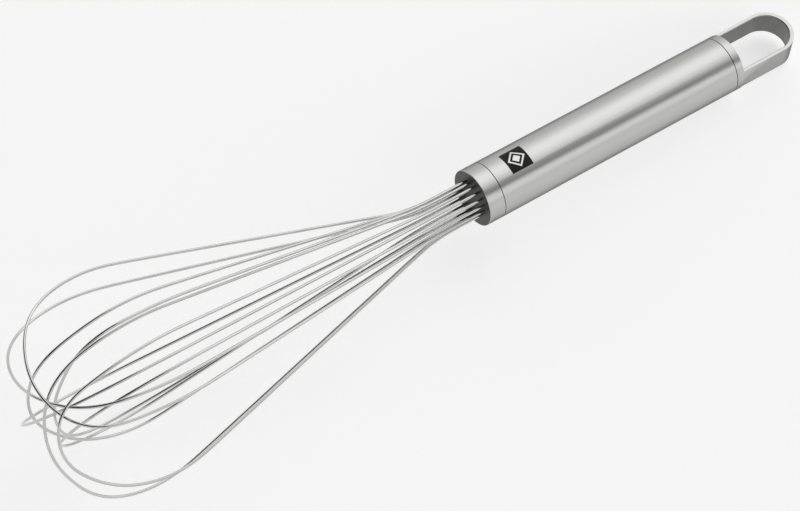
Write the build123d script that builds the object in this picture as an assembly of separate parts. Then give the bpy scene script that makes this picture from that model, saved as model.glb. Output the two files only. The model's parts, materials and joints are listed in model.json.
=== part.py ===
from build123d import *
from collections import namedtuple
from math import acos, atan2, cos, degrees, radians, sin, sqrt, tan
import os

# A balloon whisk: a round tubular handle with a flat hanging eye at one end, and at the other a
# collar that holds spring-wire loops. It lies at rest on a flat surface, handle towards +X.
#
# Everything is drawn in the handle's own frame first. There +X is the handle's axis, towards the
# eye, x = 0 is the collar's front face, +Z is square to the flat of the eye, and angles about the
# axis are counted from +Z towards -Y. The last section leans the whisk over onto its balloon.

# Driving dimensions, in millimetres and degrees.
handle_diameter = 22.0
tube_length = 107.0
tube_wall = 1.0
collar_length = 6.8
collar_face_thickness = 3.0
collar_spigot_length = 15.0
collar_spigot_wall = 1.1
inner_plate_thickness = 2.0
cap_ring_length = 3.2
cap_spigot_length = 10.0
eye_thickness = 9.4
eye_rim_width = 1.37
eye_hole_length = 27.6
eye_tip_thickness = 1.8
eye_tip_margin = 0.05
eye_shoulder = 0.2
eye_edge_radius = 0.4
eye_root_overlap = 1.0
badge_side = 9.2
badge_thickness = 0.5
badge_from_face = 18.2
badge_corner_radius = 0.3
seam_chamfer = 0.15
front_edge_radius = 0.25

wire_diameter = 1.1
leg_count = 16
leg_edge_margin = 1.6
first_leg_angle = -135.0
leg_end_clearance = 1.0
neck_length = 20.5
neck_bend_radius = 26.4
balloon_radius = 40.0
balloon_length = 187.5
belly_set_back = 39.5
shoulder_set_back = 10.5
bend_share = 0.47

spigot_clearance = 0.05
plate_clearance = 0.05
wire_clearance = 0.05
badge_clearance = 0.02

# The wire loops. Each starts and ends in a leg of the circle of holes, numbered from 0 round the
# axis. A leg stands at its own angle at the belly, at its own share of balloon_radius, and the loop
# reaches its own share of balloon_length. The skew is how much further the first shoulder lies
# than the second, and the breadth is the shoulders' spread as a share of the belly's.
# Hand-bent spring wire never stands evenly, and these differences let the loops pass each other.
Loop = namedtuple("Loop", "legs angles spreads reach skew breadth")
loops = (
    Loop(legs=(2, 10), angles=(-53, 49), spreads=(1.0625, 0.9625), reach=0.981, skew=-7.5, breadth=0.85),
    Loop(legs=(1, 9), angles=(-88, 38), spreads=(1.0375, 0.9875), reach=0.987, skew=0.5, breadth=0.80),
    Loop(legs=(3, 13), angles=(-20, 182), spreads=(0.875, 0.9), reach=0.973, skew=13.5, breadth=0.70),
    Loop(legs=(4, 14), angles=(-2, 196), spreads=(0.95, 1.025), reach=0.928, skew=0.0, breadth=1.00),
    Loop(legs=(5, 12), angles=(-2, 140), spreads=(0.9375, 1.0), reach=0.995, skew=8.5, breadth=0.80),
    Loop(legs=(11, 6), angles=(101, 15), spreads=(0.9375, 1.0), reach=1.0, skew=-12.5, breadth=0.75),
    Loop(legs=(0, 7), angles=(-142, 26), spreads=(0.95, 0.925), reach=0.995, skew=1.0, breadth=0.80),
    Loop(legs=(8, 15), angles=(32, 192), spreads=(0.9875, 0.95), reach=0.957, skew=3.5, breadth=0.75),
)

handle_radius = handle_diameter / 2
wire_radius = wire_diameter / 2
tube_bore_radius = handle_radius - tube_wall
collar_spigot_end = collar_length + collar_spigot_length
potting_bore_radius = tube_bore_radius - spigot_clearance - collar_spigot_wall
leg_circle_radius = potting_bore_radius - leg_edge_margin - wire_radius
inner_plate_start = collar_spigot_end - inner_plate_thickness
leg_end = collar_spigot_end + leg_end_clearance
rear_seam = collar_length + tube_length
cap_ring_end = rear_seam + cap_ring_length
eye_radius = handle_radius - eye_shoulder
eye_flat_half_width = sqrt(eye_radius ** 2 - (eye_thickness / 2) ** 2)
eye_hole_width = 2 * (eye_flat_half_width - eye_rim_width)
eye_hole_centre = cap_ring_end + eye_hole_length - eye_hole_width / 2
eye_tip = cap_ring_end + eye_hole_length + eye_tip_thickness
eye_tip_radius = eye_flat_half_width + eye_tip_margin
eye_tip_centre = eye_tip - eye_tip_radius


def about_axis(x, radius, angle):
    """A point at x along the handle, at a radius and an angle about its axis."""
    return Vector(x, -radius * sin(radians(angle)), radius * cos(radians(angle)))


def rod(start, end, radius):
    """A solid cylinder on the handle's axis, from start to end."""
    return Pos(start, 0, 0) * Rot(0, 90, 0) * extrude(Circle(radius), amount=end - start)


def leg_angle(leg):
    return first_leg_angle + 360 / leg_count * leg


def leg_holes(start, end, radius):
    """The pattern of leg holes, as rods to be cut from a plate between start and end."""
    holes = [Pos(*about_axis(0, leg_circle_radius, leg_angle(leg))) * rod(start, end, radius)
             for leg in range(leg_count)]
    return Part() + holes


# Handle tube: a plain tube with its two end edges broken, and a pocket for the badge.
def badge_block(side, corner_radius):
    """A square post that stands through the top of the handle where the badge lies."""
    outline = RectangleRounded(side, side, corner_radius)
    return Pos(badge_from_face, 0, 0) * extrude(outline, amount=2 * handle_radius)


def make_handle_tube():
    outside = rod(collar_length, rear_seam, handle_radius)
    outside = chamfer(outside.edges().filter_by(GeomType.CIRCLE), seam_chamfer)
    tube = outside - rod(collar_length, rear_seam, tube_bore_radius)
    floor = rod(collar_length, rear_seam, handle_radius - badge_thickness)
    pocket = badge_block(badge_side, badge_corner_radius) - floor
    return tube - pocket


def make_badge():
    """A thin square inlay, curved like the tube and flush with it."""
    side = badge_side - 2 * badge_clearance
    skin = rod(collar_length, rear_seam, handle_radius)
    skin -= rod(collar_length, rear_seam, handle_radius - badge_thickness + badge_clearance)
    return badge_block(side, badge_corner_radius - badge_clearance) & skin


# Front collar: a turned cup whose flat face has the leg holes, with a spigot that enters the tube.
def make_front_collar():
    ring = rod(0, collar_length, handle_radius)
    ends = ring.edges().filter_by(GeomType.CIRCLE).sort_by(Axis.X)
    ring = fillet(ends[0], front_edge_radius)
    ring = chamfer(ring.edges().filter_by(GeomType.CIRCLE).sort_by(Axis.X)[-1], seam_chamfer)
    spigot = rod(collar_length, collar_spigot_end, tube_bore_radius - spigot_clearance)
    bore = rod(collar_face_thickness, collar_spigot_end, potting_bore_radius)
    return ring + spigot - bore - leg_holes(0, collar_face_thickness, wire_radius + wire_clearance)


# Inside the collar: the plate that keeps the legs apart, and the compound cast between.
def make_inner_wire_plate():
    plate = rod(inner_plate_start, collar_spigot_end, potting_bore_radius - plate_clearance)
    return plate - leg_holes(inner_plate_start, collar_spigot_end, wire_radius + wire_clearance)


def make_wire_potting():
    filling = rod(collar_face_thickness, inner_plate_start, potting_bore_radius)
    return filling - leg_holes(collar_face_thickness, inner_plate_start, wire_radius)


# End cap: a ring as wide as the tube, a spigot that enters it, and the flat hanging eye. The eye is
# the round bar, turned down by a small shoulder and flattened to a slab with a round tip, so that
# the outer faces of its two sides stay round.
def eye_outline():
    """The slab's outline: as wide as the bar at the ring, narrowing to touch the tip's circle."""
    to_corner = Vector(cap_ring_end - eye_tip_centre, eye_radius)
    touch_angle = radians(to_corner.get_angle(Vector(1, 0))) - acos(eye_tip_radius / to_corner.length)
    touch_x = eye_tip_centre + eye_tip_radius * cos(touch_angle)
    touch_y = eye_tip_radius * sin(touch_angle)
    root = cap_ring_end - eye_root_overlap
    sides = Polyline((touch_x, -touch_y), (cap_ring_end, -eye_radius), (root, -eye_radius),
                     (root, eye_radius), (cap_ring_end, eye_radius), (touch_x, touch_y))
    tip = ThreePointArc((touch_x, touch_y), (eye_tip, 0), (touch_x, -touch_y))
    return make_face([*sides.edges(), tip.edge()])


def make_end_cap():
    ring = rod(rear_seam, cap_ring_end, handle_radius)
    seam_edge = ring.edges().filter_by(GeomType.CIRCLE).sort_by(Axis.X)[0]
    ring = chamfer(seam_edge, seam_chamfer)
    spigot = rod(rear_seam - cap_spigot_length, rear_seam, tube_bore_radius - spigot_clearance)

    slab = extrude(eye_outline(), amount=eye_thickness / 2, both=True)
    bar = rod(cap_ring_end - eye_root_overlap, eye_tip, eye_radius)
    hole_run = eye_hole_centre - cap_ring_end
    hole = Pos(cap_ring_end + hole_run / 2, 0) * Rectangle(hole_run, eye_hole_width)
    hole += Pos(eye_hole_centre, 0) * Circle(eye_hole_width / 2)
    eye = (slab & bar) - extrude(hole, amount=eye_thickness, both=True)

    def runs_round_hole(edge):
        box = edge.bounding_box()
        on_a_flat = box.size.Z < 0.001 and abs(box.center().Z) > eye_thickness / 2 - 0.001
        return on_a_flat and box.min.X > cap_ring_end - 0.001 and box.size.Y > 0.001 \
            and box.max.Y < eye_hole_width / 2 + 0.001 and box.center().X > eye_hole_centre

    def beside_hole(edge):
        box = edge.bounding_box()
        on_a_flat = box.size.Z < 0.001 and abs(box.center().Z) > eye_thickness / 2 - 0.001
        return on_a_flat and box.size.Y < 0.001 and abs(box.center().Y) < eye_hole_width / 2 + 0.001

    rim = eye.edges().filter_by(runs_round_hole) + eye.edges().filter_by(beside_hole)
    return ring + fillet(rim, eye_edge_radius) + spigot


# Wire loops: two straight legs, a bend at each neck, and a balloon outline that turns at the belly,
# the shoulders and the tip. Every corner is an arc that is tangent to the runs beside it.
def loop_corners(loop):
    reach = loop.reach * balloon_length
    holes = [about_axis(0, leg_circle_radius, leg_angle(leg)) for leg in loop.legs]
    belly = [about_axis(0, share * balloon_radius, angle)
             for share, angle in zip(loop.spreads, loop.angles)]
    middle = (belly[0] + belly[1]) / 2
    sides = []
    for hole, side, skew in zip(holes, belly, (loop.skew / 2, -loop.skew / 2)):
        shoulder = middle + (side - middle) * loop.breadth
        sides.append([
            hole + Vector(leg_end, 0, 0),
            hole - Vector(neck_length, 0, 0),
            side - Vector(reach - belly_set_back, 0, 0),
            shoulder - Vector(reach - shoulder_set_back + skew, 0, 0),
        ])
    tip = middle - Vector(reach, 0, 0)
    return sides[0] + [tip] + sides[1][::-1]


def bend_radii(corners):
    """The radius at each corner: most of the shorter run beside it goes into the bend."""
    radii = []
    last = len(corners) - 2
    for index in range(1, last + 1):
        before = corners[index] - corners[index - 1]
        after = corners[index + 1] - corners[index]
        turn = radians(before.get_angle(after))
        radius = bend_share * min(before.length, after.length) / tan(turn / 2)
        at_neck = index in (1, last)
        radii.append(min(radius, neck_bend_radius) if at_neck else radius)
    return radii


def make_wire_loop(loop):
    corners = loop_corners(loop)
    path = FilletPolyline(*corners, radius=bend_radii(corners))
    start = Plane(origin=corners[0], z_dir=corners[1] - corners[0])
    wire = sweep(start * Circle(wire_radius), path=path)
    return path, wire


# Resting place: the whisk leans about Y until the rear of the end cap and the lowest wire both
# touch the surface, and its box is then centred on the origin with its underside at z = 0.
def rest_lean(paths):
    """The slope of the line under the cap ring that touches the lowest wire."""
    heel_x, heel_z = cap_ring_end, -handle_radius
    slopes = []
    for path in paths:
        for step in range(401):
            point = path @ (step / 400)
            if point.X < -neck_length:
                slopes.append(atan2(heel_z - (point.Z - wire_radius), heel_x - point.X))
    return degrees(max(slopes))


parts = {
    "handle_tube": make_handle_tube(),
    "badge": make_badge(),
    "front_collar": make_front_collar(),
    "inner_wire_plate": make_inner_wire_plate(),
    "wire_potting": make_wire_potting(),
    "end_cap": make_end_cap(),
}
paths = []
for number, loop in enumerate(loops, start=1):
    path, wire = make_wire_loop(loop)
    paths.append(path)
    parts[f"wire_loop_{number}"] = wire
    print(f"wire_loop_{number}: {path.length:.1f} mm of wire, {wire.volume:.1f} mm3")

lean = rest_lean(paths)
leaning = {name: Rot(0, lean, 0) * part.solid() for name, part in parts.items()}
boxes = [solid.bounding_box() for solid in leaning.values()]
low = Vector(*(min(corner) for corner in zip(*(tuple(box.min) for box in boxes))))
high = Vector(*(max(corner) for corner in zip(*(tuple(box.max) for box in boxes))))
to_rest = Pos(-(low.X + high.X) / 2, -(low.Y + high.Y) / 2, -low.Z)
print(f"lean {lean:.3f} degrees, then moved by {to_rest.position}, size {high - low}")

os.makedirs("parts", exist_ok=True)
for name, solid in leaning.items():
    export_step(to_rest * solid, f"parts/{name}.step")
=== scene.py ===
import json
from collections import namedtuple
from math import cos, pi, radians, sin, tan

import bmesh
import bpy
from mathutils import Matrix, Vector


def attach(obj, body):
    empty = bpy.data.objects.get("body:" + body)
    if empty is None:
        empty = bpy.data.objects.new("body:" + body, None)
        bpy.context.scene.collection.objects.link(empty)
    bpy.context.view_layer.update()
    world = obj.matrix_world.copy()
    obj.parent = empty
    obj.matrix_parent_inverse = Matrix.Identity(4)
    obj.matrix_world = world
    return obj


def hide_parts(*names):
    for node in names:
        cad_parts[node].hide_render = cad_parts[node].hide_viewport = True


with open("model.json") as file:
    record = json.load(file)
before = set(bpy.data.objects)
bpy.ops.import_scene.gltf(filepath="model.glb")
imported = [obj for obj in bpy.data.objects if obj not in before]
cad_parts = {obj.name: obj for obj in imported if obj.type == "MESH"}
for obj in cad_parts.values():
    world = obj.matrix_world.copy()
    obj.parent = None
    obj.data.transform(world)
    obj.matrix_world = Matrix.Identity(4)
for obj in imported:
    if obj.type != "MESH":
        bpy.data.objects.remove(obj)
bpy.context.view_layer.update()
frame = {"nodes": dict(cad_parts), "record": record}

# ---------------------------------------------------------------------------------------------
# Spring wires: eight loops of hard-drawn stainless wire. Each is bent by hand, from two straight
# legs out to the belly, round the shoulders and across the tip, and springs freely as it beats.
mm = 0.001
collar_length = 6.8 * mm
tube_length = 107 * mm
ring_length = 3.2 * mm
front_edge_radius = 0.25 * mm
grip = next(mount for mount in frame["record"]["mounts"] if mount["name"] == "handle_grip")
handle_radius = grip["dims"]["r_mm"] * mm
handle_axis = Vector(grip["axis"]).normalized()
handle_top = Vector((-handle_axis.z, 0, handle_axis.x))
grip_middle = (front_edge_radius + collar_length + tube_length + ring_length) / 2
face_centre = Vector(grip["pos_m"]) - handle_axis * grip_middle
as_it_lies = Matrix.Translation(face_centre) @ Matrix(
    (handle_axis, handle_top.cross(handle_axis), handle_top)).transposed().to_4x4()

wire_radius = 0.55 * mm
leg_circle_radius = 6.7 * mm
leg_count = 16
first_leg_angle = -135
leg_end = 22.8 * mm
neck_length = 20.5 * mm
neck_bend_radius = 26.4 * mm
balloon_radius = 40 * mm
balloon_length = 187.5 * mm
belly_set_back = 39.5 * mm
shoulder_set_back = 10.5 * mm
bend_share = 0.47

Loop = namedtuple("Loop", "legs angles spreads reach skew breadth")
loops = (
    Loop(legs=(2, 10), angles=(-53, 49), spreads=(1.0625, 0.9625), reach=0.981, skew=-7.5,
         breadth=0.85),
    Loop(legs=(1, 9), angles=(-88, 38), spreads=(1.0375, 0.9875), reach=0.987, skew=0.5, breadth=0.80),
    Loop(legs=(3, 13), angles=(-20, 182), spreads=(0.875, 0.9), reach=0.973, skew=13.5, breadth=0.70),
    Loop(legs=(4, 14), angles=(-2, 196), spreads=(0.95, 1.025), reach=0.928, skew=0.0, breadth=1.00),
    Loop(legs=(5, 12), angles=(-2, 140), spreads=(0.9375, 1.0), reach=0.995, skew=8.5, breadth=0.80),
    Loop(legs=(11, 6), angles=(101, 15), spreads=(0.9375, 1.0), reach=1.0, skew=-12.5, breadth=0.75),
    Loop(legs=(0, 7), angles=(-142, 26), spreads=(0.95, 0.925), reach=0.995, skew=1.0, breadth=0.80),
    Loop(legs=(8, 15), angles=(32, 192), spreads=(0.9875, 0.95), reach=0.957, skew=3.5, breadth=0.75),
)


def about_axis(x, radius, angle):
    """A point of the handle's own frame: x back from the collar's face, at a radius and an angle."""
    return Vector((x, -radius * sin(radians(angle)), radius * cos(radians(angle))))


def loop_corners(loop):
    """The corners that a loop is bent at, leg end to leg end."""
    reach = loop.reach * balloon_length
    holes = [about_axis(0, leg_circle_radius, first_leg_angle + 360 / leg_count * leg)
             for leg in loop.legs]
    belly = [about_axis(0, share * balloon_radius, angle)
             for share, angle in zip(loop.spreads, loop.angles)]
    middle = (belly[0] + belly[1]) / 2
    sides = []
    for hole, side, skew in zip(holes, belly, (loop.skew * mm / 2, -loop.skew * mm / 2)):
        shoulder = middle + (side - middle) * loop.breadth
        sides.append([
            hole + Vector((leg_end, 0, 0)),
            hole - Vector((neck_length, 0, 0)),
            side - Vector((reach - belly_set_back, 0, 0)),
            shoulder - Vector((reach - shoulder_set_back + skew, 0, 0)),
        ])
    return sides[0] + [middle - Vector((reach, 0, 0))] + sides[1][::-1]


def bend_radii(corners):
    """The radius of the bend at each corner, and none at the two ends."""
    radii = [0]
    last = len(corners) - 2
    for index in range(1, last + 1):
        before = corners[index] - corners[index - 1]
        after = corners[index + 1] - corners[index]
        radius = bend_share * min(before.length, after.length) / tan(before.angle(after) / 2)
        radii.append(min(radius, neck_bend_radius) if index in (1, last) else radius)
    return radii + [0]


class Signal:
    """A shader socket that can be written in sums, so that 1 - mask adds its Math node."""

    def __init__(self, finish, socket):
        self.finish = finish
        self.socket = socket

    def combined(self, operation, first, second):
        return self.finish.add("ShaderNodeMath", {"operation": operation}, {0: first, 1: second})

    def __add__(self, other):
        return self.combined("ADD", self, other)

    def __sub__(self, other):
        return self.combined("SUBTRACT", self, other)

    def __rsub__(self, other):
        return self.combined("SUBTRACT", other, self)

    def __mul__(self, other):
        return self.combined("MULTIPLY", self, other)

    def __truediv__(self, other):
        return self.combined("DIVIDE", self, other)

    __radd__ = __add__
    __rmul__ = __mul__


class Finish:
    """A material, or the light all round, and the one way that nodes are added to it."""

    def __init__(self, owner):
        owner.use_nodes = True
        self.owner = owner
        self.tree = owner.node_tree
        self.tree.nodes.clear()

    def add(self, kind, settings=None, values=None, output=0):
        node = self.tree.nodes.new(kind)
        for name, setting in (settings or {}).items():
            if name == "stops":
                ramp = node.color_ramp
                while len(ramp.elements) < len(setting):
                    ramp.elements.new(1)
                for element, (place, shade) in zip(ramp.elements, setting):
                    element.position = place
                    element.color = (shade, shade, shade, 1)
            elif name == "interpolation":
                node.color_ramp.interpolation = setting
            else:
                setattr(node, name, setting)
        for name, value in (values or {}).items():
            if isinstance(value, Signal):
                self.tree.links.new(value.socket, node.inputs[name])
            else:
                node.inputs[name].default_value = value
        return Signal(self, node.outputs[output]) if node.outputs else node

    def noise(self, at, scale, detail=2.0):
        """Even, random unevenness between 0 and 1."""
        return self.add("ShaderNodeTexNoise", {}, {"Vector": at, "Scale": scale, "Detail": detail})

    def along_handle(self, stretch):
        """Places on the piece in the handle's own frame, stretched along and across it."""
        turn = as_it_lies.to_3x3().inverted().to_euler()
        here = self.add("ShaderNodeTexCoord", output="Object")
        flat = self.add("ShaderNodeMapping", {"vector_type": "POINT"},
                        {"Vector": here, "Rotation": turn})
        return self.add("ShaderNodeMapping", {"vector_type": "POINT"},
                        {"Vector": flat, "Scale": stretch})

    def metal(self, colour, spread, roughness, roughness_spread, unevenness, bump, bump_height,
              edge_tint=1.0):
        """Bare metal whose colour, polish and surface follow the unevenness that is given."""
        dark = tuple(channel * (1 - spread) for channel in colour)
        shade = self.add("ShaderNodeMix", {"data_type": "RGBA"},
                         {0: unevenness, 6: (*dark, 1), 7: (*colour, 1)}, output=2)
        raised = self.add("ShaderNodeBump", {},
                          {"Height": bump, "Strength": 1.0, "Distance": bump_height})
        surface = self.add("ShaderNodeBsdfPrincipled", {}, {
            "Base Color": shade, "Metallic": 1.0, "Normal": raised,
            "Specular Tint": (edge_tint, edge_tint, edge_tint, 1),
            "Roughness": unevenness * roughness_spread + (roughness - roughness_spread / 2)})
        self.add("ShaderNodeOutputMaterial", {}, {"Surface": surface})
        return self.owner


wire_finish = Finish(bpy.data.materials.new("drawn spring steel"))
run = wire_finish.add("ShaderNodeAttribute", {"attribute_name": "run"}, output="Fac")
place = wire_finish.add("ShaderNodeTexCoord", output="Object")
smudges = wire_finish.noise(place, 90, 3)
draw_marks = wire_finish.add("ShaderNodeTexNoise", {"noise_dimensions": "1D"},
                             {"W": run, "Scale": 900, "Detail": 3.0})
wire_steel = wire_finish.metal(
    colour=(0.62, 0.62, 0.61), spread=0.25, roughness=0.14, roughness_spread=0.10,
    unevenness=smudges, bump=draw_marks, bump_height=0.01 * mm)

bent_wire = bpy.data.node_groups.new("bent wire", "GeometryNodeTree")
face = bent_wire.interface
face.new_socket("Corners", in_out="INPUT", socket_type="NodeSocketGeometry")
face.new_socket("Wire Radius", in_out="INPUT", socket_type="NodeSocketFloat")
face.new_socket("Steps per Bend", in_out="INPUT", socket_type="NodeSocketInt")
face.new_socket("Sides", in_out="INPUT", socket_type="NodeSocketInt")
face.new_socket("Spring Step", in_out="INPUT", socket_type="NodeSocketFloat")
face.new_socket("Spring Passes", in_out="INPUT", socket_type="NodeSocketInt")
face.new_socket("Steel", in_out="INPUT", socket_type="NodeSocketMaterial")
face.new_socket("Wire", in_out="OUTPUT", socket_type="NodeSocketGeometry")


def add_step(kind, settings, values, output=0):
    """A step of the wire bender: a node with its settings, and the values or links of its inputs."""
    node = bent_wire.nodes.new(kind)
    for name, setting in settings.items():
        setattr(node, name, setting)
    for name, value in values.items():
        if isinstance(value, bpy.types.NodeSocket):
            bent_wire.links.new(value, node.inputs[name])
        else:
            node.inputs[name].default_value = value
    return node.outputs[output] if node.outputs else None


given = bent_wire.nodes.new("NodeGroupInput").outputs
bend_at_corner = add_step("GeometryNodeInputNamedAttribute", {"data_type": "FLOAT"},
                          {"Name": "bend_radius"})
straight_runs = add_step("GeometryNodeMeshToCurve", {}, {"Mesh": given["Corners"]})
bent = add_step("GeometryNodeFilletCurve", {"mode": "POLY"}, {
    "Curve": straight_runs, "Count": given["Steps per Bend"], "Radius": bend_at_corner})
even_run = add_step("GeometryNodeResampleCurve", {"mode": "LENGTH"},
                    {"Curve": bent, "Length": given["Spring Step"]})
# The wire springs back a little as it is let go, so each bend eases into the run beside it.
position = add_step("GeometryNodeInputPosition", {}, {})
sprung = add_step("GeometryNodeBlurAttribute", {"data_type": "FLOAT_VECTOR"},
                  {"Value": position, "Iterations": given["Spring Passes"]})
relaxed = add_step("GeometryNodeSetPosition", {}, {"Geometry": even_run, "Position": sprung})
run_so_far = add_step("GeometryNodeSplineParameter", {}, {}, output="Length")
marked = add_step("GeometryNodeStoreNamedAttribute", {"data_type": "FLOAT", "domain": "POINT"},
                  {"Geometry": relaxed, "Name": "run", "Value": run_so_far})
section = add_step("GeometryNodeCurvePrimitiveCircle", {"mode": "RADIUS"},
                   {"Resolution": given["Sides"], "Radius": given["Wire Radius"]})
drawn = add_step("GeometryNodeCurveToMesh", {},
                 {"Curve": marked, "Profile Curve": section, "Fill Caps": True})
smooth = add_step("GeometryNodeSetShadeSmooth", {}, {"Geometry": drawn})
whole = add_step("GeometryNodeRealizeInstances", {}, {"Geometry": smooth})
steel = add_step("GeometryNodeSetMaterial", {}, {"Geometry": whole, "Material": given["Steel"]})
add_step("NodeGroupOutput", {}, {"Wire": steel})

for number, loop in enumerate(loops, start=1):
    corners = loop_corners(loop)
    runs = bpy.data.meshes.new(f"spring_wire_{number}")
    runs.from_pydata([as_it_lies @ corner for corner in corners],
                     [(index, index + 1) for index in range(len(corners) - 1)], [])
    runs.attributes.new("bend_radius", "FLOAT", "POINT").data.foreach_set(
        "value", bend_radii(corners))
    wire = bpy.data.objects.new(f"spring_wire_{number}", runs)
    bpy.context.collection.objects.link(wire)
    bender = wire.modifiers.new("bent wire", "NODES")
    bender.node_group = bent_wire
    sizes = {"Wire Radius": wire_radius, "Steps per Bend": 28, "Sides": 14,
             "Spring Step": 1.5 * mm, "Spring Passes": 16, "Steel": wire_steel}
    for socket in bent_wire.interface.items_tree:
        if socket.name in sizes:
            bender[socket.identifier] = sizes[socket.name]
    shaped = wire.evaluated_get(bpy.context.evaluated_depsgraph_get())
    finished = bpy.data.meshes.new_from_object(shaped)
    wire.modifiers.remove(bender)
    wire.data = finished
    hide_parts(f"wire_loop_{number}")
    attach(wire, "root")

# ---------------------------------------------------------------------------------------------
# Front collar: a turned stainless cup. Its flat face is drilled for the sixteen legs and left rougher
# than the satin band behind it, and its spigot is pressed into the tube. Its face, its bore and the
# groove at its joint are coloured dark as painted shade.
merge_distance = 0.0005 * mm
flat_angle = radians(0.3)
sharp_angle = radians(34)


def in_handle(place):
    """A place on a piece, as it stands in the handle's own frame."""
    return as_it_lies.inverted() @ place


def finished_copy(node, name, eased_edges=None, easing=0.0):
    """The node's shape with its triangles joined, chosen edges eased, and its rounds shaded round."""
    shape = bmesh.new()
    shape.from_mesh(frame["nodes"][node].data)
    bmesh.ops.remove_doubles(shape, verts=shape.verts, dist=merge_distance)
    bmesh.ops.dissolve_limit(shape, angle_limit=flat_angle, verts=shape.verts, edges=shape.edges)
    if eased_edges:
        chosen = [edge for edge in shape.edges if eased_edges(edge)]
        bmesh.ops.bevel(shape, geom=chosen, offset=easing, offset_type="OFFSET", segments=3,
                        profile=0.5, affect="EDGES", clamp_overlap=True)
    mesh = bpy.data.meshes.new(name)
    shape.to_mesh(mesh)
    shape.free()
    if mesh.attributes.get("custom_normal"):
        mesh.attributes.remove(mesh.attributes["custom_normal"])
    mesh.shade_smooth()
    mesh.set_sharp_from_angle(angle=sharp_angle)
    mesh.materials.clear()
    piece = bpy.data.objects.new(name, mesh)
    bpy.context.collection.objects.link(piece)
    shading = piece.modifiers.new("even shading", "WEIGHTED_NORMAL")
    shading.keep_sharp = True
    shaded = piece.evaluated_get(bpy.context.evaluated_depsgraph_get())
    finished = bpy.data.meshes.new_from_object(shaded)
    piece.modifiers.remove(shading)
    piece.data = finished
    return piece


satin_finish = Finish(bpy.data.materials.new("satin steel"))
brush_lines = satin_finish.noise(satin_finish.along_handle((25, 2200, 2200)), 1, 3)
patches = satin_finish.noise(satin_finish.along_handle((60, 140, 140)), 1, 2)
satin_steel = satin_finish.metal(
    colour=(0.56, 0.56, 0.55), spread=0.16, roughness=0.25, roughness_spread=0.10,
    unevenness=brush_lines * 0.7 + patches * 0.3, bump=brush_lines, bump_height=0.004 * mm,
    edge_tint=0.30)

# Dark steel as painted shade, for the collar's face and bore and the grooves at the joints; it is also
# rougher than the satin steel.
face_shade_finish = Finish(bpy.data.materials.new("dark steel with painted shade"))
turning = face_shade_finish.noise(face_shade_finish.along_handle((300, 900, 900)), 1, 3)
painted_shade_steel = face_shade_finish.metal(
    colour=(0.10, 0.10, 0.10), spread=0.4, roughness=0.42, roughness_spread=0.15,
    unevenness=turning, bump=turning, bump_height=0.02 * mm)

groove_reach = 0.14 * mm
face_depth = 0.02 * mm
bore_margin = 1.5 * mm
collar = finished_copy("front_collar", "collar")
collar.data.materials.append(satin_steel)
collar.data.materials.append(painted_shade_steel)


def is_in_joint(polygon, joint):
    """Whether a face is part of the fine groove at a joint of the handle."""
    return abs(in_handle(polygon.center).x - joint) < groove_reach


# Painted shade: the face, the bore and the joint groove take the dark steel.
for polygon in collar.data.polygons:
    place = in_handle(polygon.center)
    in_face_shade = place.x < face_depth or place.yz.length < handle_radius - bore_margin
    polygon.material_index = 1 if in_face_shade or is_in_joint(polygon, collar_length) else 0
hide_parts("front_collar")
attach(collar, "root")

# ---------------------------------------------------------------------------------------------
# Inside the collar: a drilled plate that keeps the legs apart, and the dark compound cast round
# them, which holds the loops for good and closes the handle to water.
compound_finish = Finish(bpy.data.materials.new("cast compound"))
grain = compound_finish.noise(compound_finish.along_handle((700, 700, 700)), 1, 4)
compound_tone = compound_finish.add("ShaderNodeMix", {"data_type": "RGBA"}, {
    0: grain, 6: (0.015, 0.015, 0.015, 1), 7: (0.05, 0.05, 0.05, 1)}, output=2)
compound_bumps = compound_finish.add("ShaderNodeBump", {}, {"Height": grain, "Distance": 0.03 * mm})
compound_surface = compound_finish.add("ShaderNodeBsdfPrincipled", {}, {
    "Base Color": compound_tone, "Roughness": grain * 0.2 + 0.55, "Normal": compound_bumps})
compound_finish.add("ShaderNodeOutputMaterial", {}, {"Surface": compound_surface})

for node, material in (("inner_wire_plate", satin_steel), ("wire_potting", compound_finish.owner)):
    for slot in frame["nodes"][node].material_slots:
        slot.material = material

# ---------------------------------------------------------------------------------------------
# Handle tube: seamless stainless tube, satin brushed along its length, with both end edges broken so
# that a fine line shows at each joint;
# the groove there is coloured dark as painted shade. A square pocket near the front takes the badge.
tube = finished_copy("handle_tube", "tube")
tube.data.materials.append(satin_steel)
tube.data.materials.append(painted_shade_steel)
# Painted shade: the grooves at both joints take the dark steel.
for polygon in tube.data.polygons:
    in_groove = any(is_in_joint(polygon, joint)
                    for joint in (collar_length, collar_length + tube_length))
    polygon.material_index = 1 if in_groove else 0
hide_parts("handle_tube")
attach(tube, "root")

# ---------------------------------------------------------------------------------------------
# Badge: a thin square of black enamel, curved like the tube and set flush in its pocket, with a
# plain light mark of two nested diamonds that stands a hair above it.
enamel_finish = Finish(bpy.data.materials.new("black enamel"))
clouds = enamel_finish.noise(enamel_finish.along_handle((400, 400, 400)), 1, 3)
enamel_tone = enamel_finish.add("ShaderNodeMix", {"data_type": "RGBA"}, {
    0: clouds, 6: (0.004, 0.004, 0.004, 1), 7: (0.012, 0.012, 0.012, 1)}, output=2)
enamel_waves = enamel_finish.add("ShaderNodeBump", {}, {"Height": clouds, "Distance": 0.01 * mm})
enamel_surface = enamel_finish.add("ShaderNodeBsdfPrincipled", {}, {
    "Base Color": enamel_tone, "Roughness": clouds * 0.1 + 0.4, "Normal": enamel_waves,
    "Specular IOR Level": 0.18})
enamel_finish.add("ShaderNodeOutputMaterial", {}, {"Surface": enamel_surface})

badge = finished_copy("badge", "badge_plate")
badge.data.materials.append(enamel_finish.owner)
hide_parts("badge")
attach(badge, "root")

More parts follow.
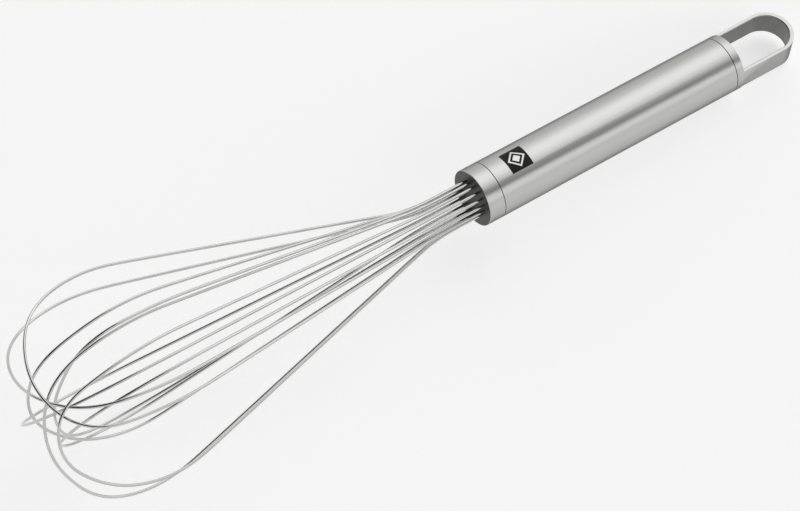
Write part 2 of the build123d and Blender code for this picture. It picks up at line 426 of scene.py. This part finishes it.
mark_finish = Finish(bpy.data.materials.new("bright inlay"))
speckle = mark_finish.noise(mark_finish.along_handle((900, 900, 900)), 1, 3)
mark_metal = mark_finish.metal(
    colour=(0.78, 0.78, 0.77), spread=0.12, roughness=0.45, roughness_spread=0.1,
    unevenness=speckle, bump=speckle, bump_height=0.004 * mm)


def diamond_band(shape, outer, inner):
    """A band of a diamond between two half widths, bent to the tube's round."""
    steps = 12
    radius = handle_radius + mark_height
    rings = []
    for half_width in (outer, inner):
        ring = []
        for side in range(4):
            start = Vector((cos(side * pi / 2), sin(side * pi / 2))) * half_width
            end = Vector((cos((side + 1) * pi / 2), sin((side + 1) * pi / 2))) * half_width
            for step in range(steps):
                along, across = start.lerp(end, step / steps)
                round_angle = across / handle_radius
                ring.append(shape.verts.new(as_it_lies @ Vector((
                    badge_centre + along, radius * sin(round_angle), radius * cos(round_angle)))))
        rings.append(ring)
    for index in range(4 * steps):
        following = (index + 1) % (4 * steps)
        shape.faces.new((rings[0][index], rings[0][following], rings[1][following], rings[1][index]))


badge_centre = 18.2 * mm
mark_height = 0.04 * mm
mark_shape = bmesh.new()
frame_rings = [3.7 * mm, 2.85 * mm]
diamond_band(mark_shape, *frame_rings)
centre_rings = [1.75 * mm, 1.3 * mm, 0.9 * mm, 0.45 * mm, 0.02 * mm]
for outer_ring, inner_ring in zip(centre_rings, centre_rings[1:]):
    diamond_band(mark_shape, outer_ring, inner_ring)
skirt = bmesh.ops.extrude_face_region(mark_shape, geom=mark_shape.faces[:], use_keep_orig=True)
for vert in (item for item in skirt["geom"] if isinstance(item, bmesh.types.BMVert)):
    vert.co -= handle_top * mark_height
bmesh.ops.recalc_face_normals(mark_shape, faces=mark_shape.faces)
mark_mesh = bpy.data.meshes.new("badge_mark")
mark_shape.to_mesh(mark_mesh)
mark_shape.free()
mark_mesh.materials.append(mark_metal)
mark = bpy.data.objects.new("badge_mark", mark_mesh)
bpy.context.collection.objects.link(mark)
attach(mark, "root")

# ---------------------------------------------------------------------------------------------
# End cap: one forged piece, with a ring as wide as the tube and a flat eye to hang it by. The eye's
# edges are eased, and its inner wall is left rougher, as it was milled, and coloured darker as painted
# shade inside the hole; the groove at the joint is painted shade too.
ring_end = collar_length + tube_length + ring_length
eye_hole_centre = ring_end + 19.25 * mm
eye_edge_height = 4.6 * mm
corner_angle = radians(45)
eye_easing = 0.35 * mm
ring_margin = 0.01 * mm
most_tilt = 0.3
# The hole's wall is coloured darker than the satin steel as painted shade, and left rougher.
eye_wall_shade_finish = Finish(bpy.data.materials.new("milled wall with painted shade"))
mill_marks = eye_wall_shade_finish.noise(eye_wall_shade_finish.along_handle((1100, 1100, 160)), 1, 3)
milled_steel_painted_shade = eye_wall_shade_finish.metal(
    colour=(0.26, 0.26, 0.25), spread=0.45, roughness=0.40, roughness_spread=0.20,
    unevenness=mill_marks, bump=mill_marks, bump_height=0.02 * mm)


def is_outer_eye_edge(edge):
    """Whether an edge runs round the outside of the eye's two flats."""
    if len(edge.link_faces) != 2 or edge.calc_face_angle() < corner_angle:
        return False
    return all(in_handle(vert.co).x > ring_end - ring_margin
               and abs(in_handle(vert.co).z) > eye_edge_height for vert in edge.verts)


def is_eye_wall(polygon):
    """Whether a face is part of the wall round the hole."""
    place = in_handle(polygon.center)
    facing = in_handle(polygon.center + polygon.normal) - place
    inward = Vector((max(ring_end, min(place.x, eye_hole_centre)), 0, place.z)) - place
    upright = abs(facing.z) < most_tilt
    return place.x > ring_end + ring_margin and upright and facing.dot(inward) > 0


cap = finished_copy("end_cap", "cap", is_outer_eye_edge, eye_easing)
cap.data.materials.append(satin_steel)
cap.data.materials.append(milled_steel_painted_shade)
cap.data.materials.append(painted_shade_steel)
# Painted shade: the joint groove takes the dark steel, and the eye's wall the darker milled steel.
for polygon in cap.data.polygons:
    in_groove = is_in_joint(polygon, collar_length + tube_length)
    polygon.material_index = 2 if in_groove else 1 if is_eye_wall(polygon) else 0
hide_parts("end_cap")
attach(cap, "root")

# ---------------------------------------------------------------------------------------------
# Table, light and camera: a wide white surface under an even studio light, which is softly
# brighter behind the whisk and darker over the front of it, as round a white tent with an opening.
table_finish = Finish(bpy.data.materials.new("white table"))
paper = table_finish.noise(table_finish.add("ShaderNodeTexCoord", output="Object"), 60, 3)
table_surface = table_finish.add("ShaderNodeBsdfPrincipled", {}, {
    "Base Color": (0.55, 0.55, 0.55, 1), "Roughness": paper * 0.1 + 0.7,
    "Emission Color": (1, 1, 1, 1), "Emission Strength": 0.60})
table_finish.add("ShaderNodeOutputMaterial", {}, {"Surface": table_surface})
table_top = bpy.data.meshes.new("table")
edge = 4
table_top.from_pydata([(-edge, -edge, 0), (edge, -edge, 0), (edge, edge, 0), (-edge, edge, 0)],
                      [], [(0, 1, 2, 3)])
table_top.materials.append(table_finish.owner)
table = bpy.data.objects.new("table", table_top)
bpy.context.collection.objects.link(table)

camera_at = face_centre + Vector((-0.3602, -0.4989, 0.9687))
camera_right = Vector((0.8167, -0.5766, -0.0201)).normalized()
camera_back = Vector((-0.2866, -0.4356, 0.8533))
camera_up = camera_back.cross(camera_right).normalized()
camera_back = camera_right.cross(camera_up)
camera = bpy.data.objects.new("camera", bpy.data.cameras.new("camera"))
camera.data.lens = 144
camera.data.sensor_width = 36
camera.matrix_world = Matrix.Translation(camera_at) @ Matrix(
    (camera_right, camera_up, camera_back)).transposed().to_4x4()
bpy.context.collection.objects.link(camera)
bpy.context.scene.camera = camera
bpy.context.scene.view_settings.view_transform = "Standard"

tent = Finish(bpy.context.scene.world or bpy.data.worlds.new("tent"))
bpy.context.scene.world = tent.owner
toward = tent.add("ShaderNodeTexCoord", output="Generated")
front, above, beside = (
    tent.add("ShaderNodeVectorMath", {"operation": "DOT_PRODUCT"}, {0: toward, 1: way}, output="Value")
    for way in (camera_back, camera_up, camera_right))
turn = above.combined("ARCTAN2", above, front) / (2 * pi) + 0.5
# Each pair is an angle up round the tent, in degrees, and the wall's brightness there.
wall_shades = [
    (-150, 0.85), (-96, 0.90), (-45, 0.85), (-25, 1.20), (4, 1.20), (8.6, 0.16), (25, 0.30),
    (34, 0.80), (51, 1.40), (64, 1.60), (78, 1.50), (94, 1.0), (116, 0.85), (148, 0.95)]
brightest = 2.0
wall_stops = [(angle / 360 + 0.5, shade / brightest) for angle, shade in wall_shades]
walls = tent.add("ShaderNodeValToRGB", {"interpolation": "LINEAR", "stops": wall_stops},
                 {"Fac": turn})
# Each pair is such an angle, and how far to the side the dark opening reaches there.
opening_edge = [
    (-40, -1.5), (-22, 0.22), (20, 0.30), (35, 0.25), (45, 0.10), (55, 0.0), (70, -0.12),
    (82, -0.30), (90, -1.5)]
closed = -1.5
edge_range = 2
edge_stops = [(angle / 360 + 0.5, (edge - closed) / edge_range) for angle, edge in opening_edge]
opening = tent.add("ShaderNodeValToRGB", {"interpolation": "LINEAR", "stops": edge_stops},
                   {"Fac": turn}) * edge_range + closed
edge_softness = 0.08
lit = tent.add("ShaderNodeMapRange", {"interpolation_type": "SMOOTHSTEP"}, {
    "Value": beside - opening, "From Min": -edge_softness, "From Max": edge_softness})
tent_light = tent.add("ShaderNodeMix", {"data_type": "RGBA"}, {
    0: lit, 6: (0.015, 0.015, 0.015, 1), 7: walls}, output=2)
glow = tent.add("ShaderNodeBackground", {}, {"Color": tent_light, "Strength": brightest})
tent.add("ShaderNodeOutputWorld", {}, {"Surface": glow})
